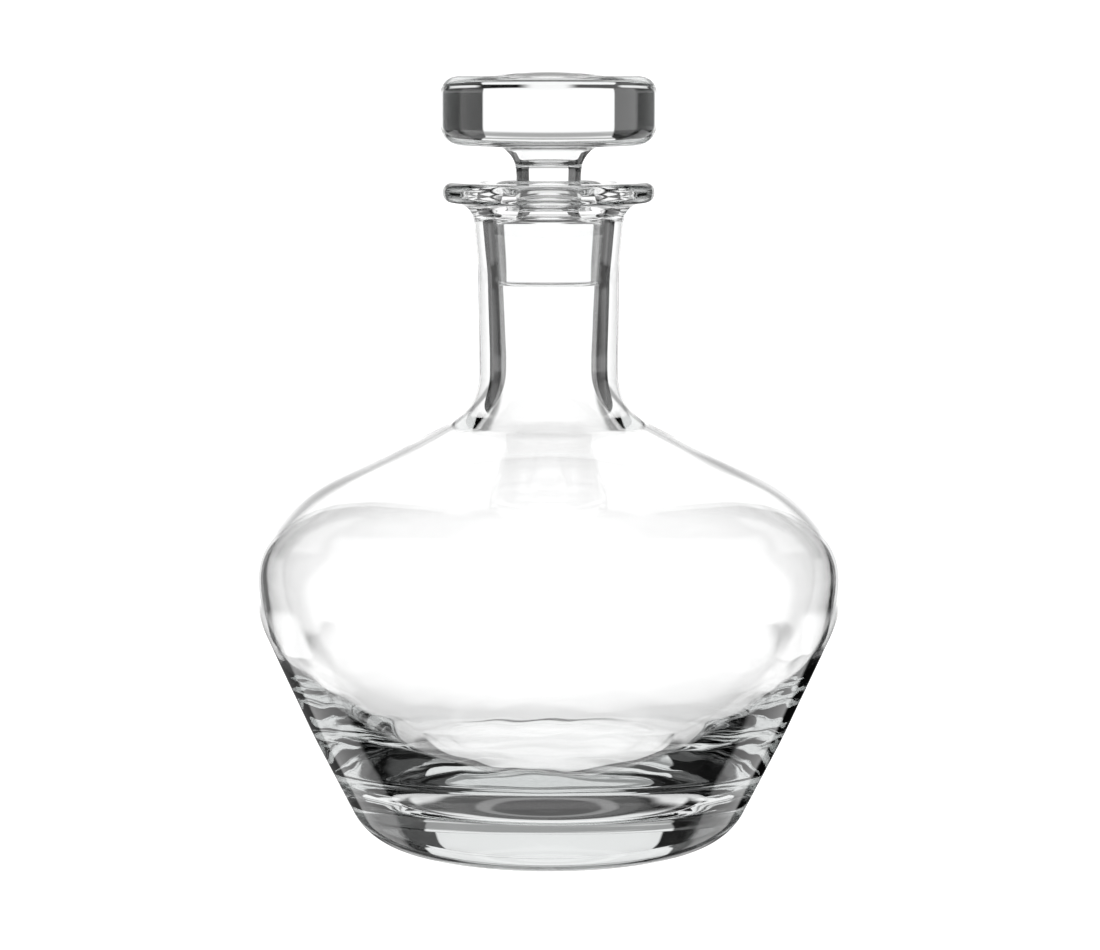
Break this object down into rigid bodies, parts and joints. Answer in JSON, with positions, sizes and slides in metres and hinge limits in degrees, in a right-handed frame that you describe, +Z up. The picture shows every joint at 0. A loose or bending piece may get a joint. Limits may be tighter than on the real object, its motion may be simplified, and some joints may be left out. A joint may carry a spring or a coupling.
{
  "type": "stoppered glass decanter",
  "caption": "Clear glass decanter with a heavy solid base, wide rounded shoulder, flanged neck and a lift-out solid glass stopper.",
  "frame": {"origin": "middle of the flat base, where it rests", "axes": "+Z up along the axis of revolution, out of the mouth; the piece is round, so X and Y are free"},
  "size_m": [0.17, 0.17, 0.2221],
  "materials": {
    "vessel_glass": "clear fire-polished crystal glass",
    "stopper_glass": "clear polished solid crystal glass"
  },
  "bodies": {
    "vessel_body": {"vessel": "vessel_glass"},
    "stopper_body": {"stopper": "stopper_glass"}
  },
  "joints": [
    {"name": "stopper_lift", "type": "slide", "parent": "vessel_body", "child": "stopper_body", "axis": [0, 0, 1], "range_m": [0, 0.06]}
  ]
}
